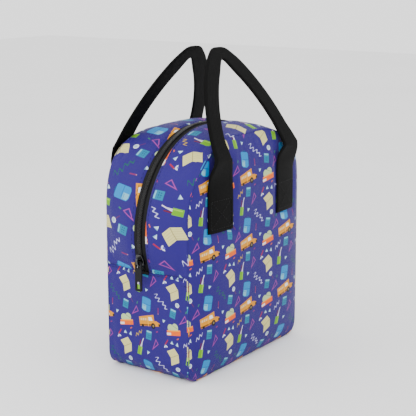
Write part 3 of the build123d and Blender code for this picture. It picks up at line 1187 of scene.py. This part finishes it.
# ------------------------------------------------------------------------------------------
# The zip
# ------------------------------------------------------------------------------------------
@dataclass
class Zip:
    """Tapes, coil, topstitching, end tabs and slider."""

    tape_depth: tuple[float, float] = (1.0, 1.8)
    tape_span: tuple[float, float] = (0.55, 15.0)
    coil_pitch: float = 1.3
    coil_size: tuple[float, float, float] = (1.75, 0.5, 0.8)
    coil_lift: float = -0.1
    stitch_pitch: float = 4.7
    stitch_size: tuple[float, float, float] = (1.45, 0.3, 0.22)
    row_reaches: tuple[float, float] = (10.4, 14.6)
    seam_rows: tuple[float, float] = (2.2, 8.6)
    end_clearance: float = 3.5

    def track(self, y: float, pitch: float, clearance: float) -> tuple[np.ndarray, ...]:
        """Points along the upper gusset at one depth, spaced evenly by length.

        Args:
            y: the depth.
            pitch: spacing.
            clearance: length left free at each side seam.

        Returns:
            Points, unit directions along the track and unit normals.
        """
        depth = np.full(1, y)
        half = (sum(FORM.lengths(depth)) - FORM.seam_length(depth))[0]
        count = int(2 * (half - clearance) / pitch)
        share = np.linspace(-1, 1, count) * (1 - clearance / half)
        rows = np.array([y - 0.5, y, y + 0.5])[:, None] + 0 * share[None]
        points = FORM.gusset(rows, np.broadcast_to(share, rows.shape), True)
        normals = grid_normals(points, FORM.middle)[1]
        along = np.gradient(points[1], axis=0)
        return points[1], along / np.linalg.norm(along, axis=-1, keepdims=True), normals

    def build_tape(self, side: Side, finishes: Finishes) -> None:
        """One tape: a woven strip with a raised cord beside the coil."""
        y = side.value * np.array([self.tape_span[0], 1.4, 2.6, 3.2, 3.7, 4.2, 4.8, 5.6, 6.6,
                                   8.0, 11.0, self.tape_span[1]])
        tracks = [self.track(value, 2.2, 0.4) for value in y]
        count = min(len(track[0]) for track in tracks)
        share = np.linspace(0, 1, count)
        points, normals = (
            np.stack([np.stack([np.interp(share, np.linspace(0, 1, len(track[part])),
                                          track[part][:, axis]) for axis in range(3)], -1)
                      for track in tracks]) for part in (0, 2))
        rise = 0.45 * np.exp(-((np.abs(y) - 3.9) / 0.55) ** 2)[:, None, None]
        face = points + normals * (rise - self.tape_depth[0])
        back = points - normals * self.tape_depth[1]
        length = np.broadcast_to(share * 440.0, (len(y), count))
        cloth = np.stack([np.broadcast_to(y[:, None], length.shape), length], -1)
        mesh_points, faces = shell_mesh(face, back)
        piece = make_piece(f"zip_tape_{side.word}", mesh_points, faces, finishes.tape,
                           {"cloth": np.tile(cloth.reshape(-1, 2), (2, 1))})
        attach(piece, "bag")
        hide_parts(f"zipper_tape_{side.word}")

    def build_coil(self, side: Side, finishes: Finishes) -> None:
        """One coil: its turns stand side by side and reach over the middle."""
        y = side.value * 0.95
        points, along, normals = self.track(y, self.coil_pitch, self.end_clearance)
        if side is Side.BACK:
            points = points + along * (self.coil_pitch / 2)
        across = np.cross(normals, along)
        middles = points + normals * self.coil_lift
        piece = capsules(f"zip_coil_{side.word}", middles, across, normals,
                         self.coil_size, finishes.coil)
        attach(piece, "bag")
        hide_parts(f"zipper_coil_{side.word}")

    def build_stitches(self, finishes: Finishes) -> None:
        """Two rows of topstitching each side of the zip, and two along each side seam."""
        for side in Side:
            for number, reach in enumerate(self.row_reaches, 1):
                y = side.value * reach
                points, along, normals = self.track(y, self.stitch_pitch, 3.0)
                piece = capsules(f"zip_stitches_{side.word}_{number}",
                                 points + normals * 0.1, along, normals, self.stitch_size,
                                 finishes.thread)
                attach(piece, "bag")
        for left, word in ((-1, "left"), (1, "right")):
            for number, below in enumerate(self.seam_rows, 1):
                depth = np.linspace(-0.93, 0.93, int(FORM.depth / self.stitch_pitch))
                y = depth * FORM.depth / 2
                level = FORM.seam_length(y)
                rows = np.stack([1 - (below - 0.5) / level, 1 - below / level,
                                 1 - (below + 0.5) / level]) * left
                points = FORM.gusset(np.broadcast_to(y, rows.shape), rows, False)
                normals = grid_normals(points, FORM.middle)[1]
                along = np.gradient(points[1], axis=0)
                along /= np.linalg.norm(along, axis=-1, keepdims=True)
                piece = capsules(f"side_seam_stitches_{word}_{number}",
                                 points[1] + normals * 0.1, along, normals,
                                 self.stitch_size, finishes.thread)
                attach(piece, "bag")

    def dress_metal(self, finishes: Finishes) -> None:
        """Finishes of the pieces whose CAD shape is shown."""
        for node, material in (("slider_body", finishes.enamel),
                               ("slider_bail", finishes.enamel),
                               ("pull_tab", finishes.worn_enamel),
                               ("zipper_end_left", finishes.tape),
                               ("zipper_end_right", finishes.tape)):
            data = frame["nodes"][node].data
            data.materials.clear()
            data.materials.append(material)

    def build(self, finishes: Finishes) -> None:
        """Makes the whole zip."""
        for side in Side:
            self.build_tape(side, finishes)
            self.build_coil(side, finishes)
        self.build_stitches(finishes)
        self.dress_metal(finishes)
        LOG.info("zip: tapes, coils, stitches and slider")


# ------------------------------------------------------------------------------------------
# Handles
# ------------------------------------------------------------------------------------------
@dataclass
class Handle:
    """One webbing handle: two sewn ends and a loop folded in half along its length."""

    side: Side
    webbing: float = 42.0
    loop_shares: tuple[float, ...] = (0.0, 0.12, 0.4, 0.47, 0.5)
    loop_widths: tuple[float, ...] = (25.0, 23.5, 22.5, 18.0, 15.0)
    ply: float = 1.6
    end_x: float = 64.5
    foot_x: float = 67.0
    end_z: float = 161.0
    lean: float = 26.0
    rise: float = 115.0
    grip_radius: float = 17.0
    grip_spread: float = 44.0
    step: float = 2.4
    stitch_size: tuple[float, float, float] = (1.3, 0.3, 0.25)

    @property
    def hinge(self) -> tuple[float, float]:
        """Depth and height of the fold line, from the frame's joint."""
        joint = next(item for item in frame["joints"]
                     if item["name"] == f"{self.side.word}_handle_fold")
        return abs(joint["pos_m"][1]) / MM, joint["pos_m"][2] / MM

    def loop_path(self) -> np.ndarray:
        """Middle line of the loop in its own plane: a leg arc, the grip's arc, a leg arc.

        The leg's arc meets the grip's arc at the spread angle and ends at the foot.
        """
        spread = math.radians(self.grip_spread)
        grip_z = self.rise - self.grip_radius
        shift = (self.foot_x ** 2 + grip_z ** 2 - self.grip_radius ** 2) / (
            2 * (self.grip_radius - self.foot_x * math.sin(spread)
                 + grip_z * math.cos(spread)))
        centre = np.array([-shift * math.sin(spread), grip_z - shift * math.cos(spread)])
        radius = self.grip_radius + shift
        start = math.asin(-centre[1] / radius)
        leg_angle = np.linspace(start, math.pi / 2 - spread, int(95 / self.step))
        leg = centre + radius * np.stack([np.cos(leg_angle), np.sin(leg_angle)], -1)
        grip_angle = np.linspace(math.pi / 2 - spread, math.pi / 2 + spread,
                                 int(70 / self.step))[1:-1]
        grip = np.array([0, grip_z]) + self.grip_radius * np.stack(
            [np.cos(grip_angle), np.sin(grip_angle)], -1)
        other = leg[::-1] * [-1, 1]
        return np.concatenate([leg, grip, other])

    def centre_line(self) -> tuple[np.ndarray, np.ndarray, np.ndarray]:
        """The whole strap from its right sewn end over the grip to its left one.

        Returns:
            Points, unit normals that face outwards, and the length past the fold line, which
            is negative on the sewn ends.
        """
        hinge_y, hinge_z = self.hinge
        lean = math.radians(self.lean)
        z = np.linspace(self.end_z, hinge_z, int((hinge_z - self.end_z) / self.step))[:-1]
        ease = smoothstep(hinge_z - 30, hinge_z, z)
        x = self.end_x + (self.foot_x - self.end_x) * ease
        sewn = FORM.depth / 2 + FORM.panel_crown(x, z) + 0.1 + self.ply / 2
        y = sewn + (hinge_y - sewn) * ease
        foot = np.stack([x, y, z], -1)
        flat = self.loop_path()
        loop = np.stack([flat[:, 0], hinge_y - flat[:, 1] * math.sin(lean),
                         hinge_z + flat[:, 1] * math.cos(lean)], -1)
        line = np.concatenate([foot, loop, foot[::-1] * [-1, 1, 1]])
        line = line * [1, self.side.value, 1]
        tangent = np.gradient(line, axis=0)
        tangent /= np.linalg.norm(tangent, axis=-1, keepdims=True)
        rise = smoothstep(hinge_z - 10, hinge_z + 10, line[:, 2])[:, None]
        out = ((1 - rise) * np.array([0, self.side.value, 0])
               + rise * np.array([0, self.side.value * math.cos(lean), math.sin(lean)]))
        out -= np.sum(out * tangent, -1, keepdims=True) * tangent
        out /= np.linalg.norm(out, axis=-1, keepdims=True)
        run = np.concatenate([[0], np.cumsum(np.linalg.norm(np.diff(line, axis=0), axis=-1))])
        foot_run = run[len(foot)]
        past = np.minimum(run, run[-1] - run) - foot_run
        return line, out, past

    def build(self, finishes: Finishes) -> None:
        """Makes the strap and its stitching."""
        line, out, past = self.centre_line()
        tangent = np.gradient(line, axis=0)
        tangent /= np.linalg.norm(tangent, axis=-1, keepdims=True)
        across = np.cross(tangent, out)
        half = self.webbing / 2
        along_loop = np.maximum(past, 0) / (2 * past.max())
        slack = half - np.interp(along_loop, self.loop_shares, self.loop_widths) / 2
        share = np.linspace(-1, 1, 17)
        quick = smoothstep(-14, 4, past)
        slow = smoothstep(-16, 26, past)
        first_half = np.arange(len(past)) < len(past) / 2
        toward = np.where(first_half, 1, -1) * self.side.value
        low_fold = np.where(toward < 0, quick, slow)
        high_fold = np.where(toward < 0, slow, quick)
        low = slack * low_fold - half
        high = half - slack * high_fold
        reach = low[:, None] + (high - low)[:, None] * (share[None] + 1) / 2
        round_edge = np.sqrt(np.clip(1 - np.abs(share) ** 12, 0, 1))
        folded = smoothstep(-13, 8, past[:, None] + 0.5 * toward[:, None] * reach)
        top = (self.ply / 2 + self.ply * folded) * round_edge
        bottom = -(self.ply / 2) * round_edge
        base = line[:, None] + across[:, None] * reach[..., None]
        x, _, z = np.moveaxis(base, -1, 0)
        dip = FORM.panel_crown(x, z) - FORM.panel_crown(line[:, :1], line[:, 2:])
        lifted = smoothstep(self.hinge[1] - 30, self.hinge[1], line[:, 2])[:, None]
        base[..., 1] += self.side.value * dip * (1 - lifted)
        face = base + out[:, None] * top[..., None]
        back = base + out[:, None] * bottom[..., None]
        ring = np.concatenate([face, back[:, -2:0:-1]], axis=1)
        rows, columns = ring.shape[:2]
        faces = grid_faces(rows, columns, loop=True).tolist()
        faces.append(list(range(columns)))
        faces.append(list(range((rows - 1) * columns, rows * columns))[::-1])
        run = np.concatenate([[0], np.cumsum(np.linalg.norm(np.diff(line, axis=0), axis=-1))])
        cross = np.concatenate([reach, reach[:, -2:0:-1]], axis=1)
        cloth = np.stack([cross, np.broadcast_to(run[:, None], cross.shape)], -1)
        piece = make_piece(f"{self.side.word}_handle_strap", ring, faces, finishes.webbing,
                           {"cloth": cloth.reshape(-1, 2)})
        recalculate(piece)
        hinge_y, hinge_z = self.hinge
        depth = self.side.value * hinge_y * MM
        (hinge_z - 7) * MM
        (hinge_z + 7) * MM
        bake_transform(piece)
        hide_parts(f"{self.side.word}_handle_loop",
                    f"{self.side.word}_handle_end_left", f"{self.side.word}_handle_end_right")
        self.build_stitches(finishes)
        LOG.info("%s handle: %.0f mm of webbing", self.side.word, run[-1])

    def build_stitches(self, finishes: Finishes) -> None:
        """A stitched box with a cross on each sewn end."""
        for left, word in ((-1, "left"), (1, "right")):
            low, high = self.end_z + 4, self.end_z + 34
            reach = self.webbing / 2 - 4
            corners = np.array([(-reach, low), (reach, low), (reach, high), (-reach, high),
                                (-reach, low), (reach, high), (reach, low), (-reach, high)])
            runs = [np.linspace(a, b, max(int(np.linalg.norm(b - a) / 3.6), 2) + 1)
                    for a, b in zip(corners[:-1], corners[1:])]
            middles = np.concatenate([(run[:-1] + run[1:]) / 2 for run in runs])
            heading = np.concatenate([np.diff(run, axis=0) for run in runs])
            heading /= np.linalg.norm(heading, axis=-1, keepdims=True)
            x = left * self.end_x + middles[:, 0]
            z = middles[:, 1]
            y = FORM.depth / 2 + FORM.panel_crown(x, z) + 0.1 + self.ply + 0.05
            points = np.stack([x, y * self.side.value, z], -1)
            along = np.stack([heading[:, 0], 0 * x, heading[:, 1]], -1)
            up = np.broadcast_to([0.0, float(self.side.value), 0.0], along.shape)
            piece = capsules(f"{self.side.word}_handle_stitches_{word}", points, along, up,
                             self.stitch_size, finishes.black_thread)
            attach(piece, "bag")


# ------------------------------------------------------------------------------------------
# Studio
# ------------------------------------------------------------------------------------------
@dataclass(frozen=True)
class Studio:
    """Pale floor, soft lights and the camera."""

    azimuth: float = -54.64
    elevation: float = 14.25
    distance_m: float = 1.2607
    target_m: tuple[float, float, float] = (0.0, 0.0, 0.129)
    aim_right_m: float = 0.0023
    aim_up_m: float = 0.0364
    lens: float = 95.5

    def build_floor(self) -> None:
        """A wide pale floor."""
        shader = Shader("studio_floor")
        grain = shader.noise(shader.object_place(), 3.0, 2.0)
        colour = shader.mix(grain, (0.86, 0.86, 0.86, 1), (0.9, 0.9, 0.9, 1))
        material = shader.finish({"Base Color": colour, "Roughness": 0.9})
        reach = 4000.0
        corners = np.array([(-reach, -reach, 0), (reach, -reach, 0), (reach, reach, 0),
                            (-reach, reach, 0)])
        floor = make_piece("studio_floor", corners, [(0, 1, 2, 3)], material)

    def build_lights(self) -> None:
        """A bright even sky and two large soft lights."""
        world = bpy.data.worlds.new("studio")
        world.use_nodes = True
        world.node_tree.nodes["Background"].inputs["Color"].default_value = (1, 1, 1, 1)
        world.node_tree.nodes["Background"].inputs["Strength"].default_value = 1.8
        bpy.context.scene.world = world
        for name, place, power, size in (
            ("key", (-1.6, -0.7, 1.5), 22.0, 1.2),
            ("glint", (-1.2, 0.7, 0.8), 5.0, 0.5),
        ):
            light = bpy.data.lights.new(name, "AREA")
            light.energy = power
            light.size = size
            lamp = bpy.data.objects.new(name, light)
            lamp.location = place
            aim = Vector(self.target_m) - Vector(place)
            lamp.rotation_euler = aim.to_track_quat("-Z", "Y").to_euler()
            bpy.context.scene.collection.objects.link(lamp)

    def build_camera(self) -> None:
        """A long lens, turned a little above the bag's middle."""
        a, e = math.radians(self.azimuth), math.radians(self.elevation)
        back = Vector((math.sin(a) * math.cos(e), -math.cos(a) * math.cos(e), math.sin(e)))
        right = Vector((math.cos(a), math.sin(a), 0))
        up = back.cross(right)
        target = Vector(self.target_m)
        aim = target + right * self.aim_right_m + up * self.aim_up_m
        data = bpy.data.cameras.new("camera")
        data.lens = self.lens
        data.sensor_width = 36
        camera = bpy.data.objects.new("camera", data)
        camera.location = target + back * self.distance_m
        camera.rotation_euler = (aim - camera.location).to_track_quat("-Z", "Y").to_euler()
        bpy.context.scene.collection.objects.link(camera)
        bpy.context.scene.camera = camera

    def build(self) -> None:
        """Makes the studio."""
        self.build_floor()
        self.build_lights()
        self.build_camera()


def main() -> None:
    """Builds the bag and its studio."""
    finishes = Finishes()
    Studio().build()
    Body().build(finishes)
    Zip().build(finishes)
    for side in Side:
        Handle(side).build(finishes)


if __name__ == "__main__":
    main()
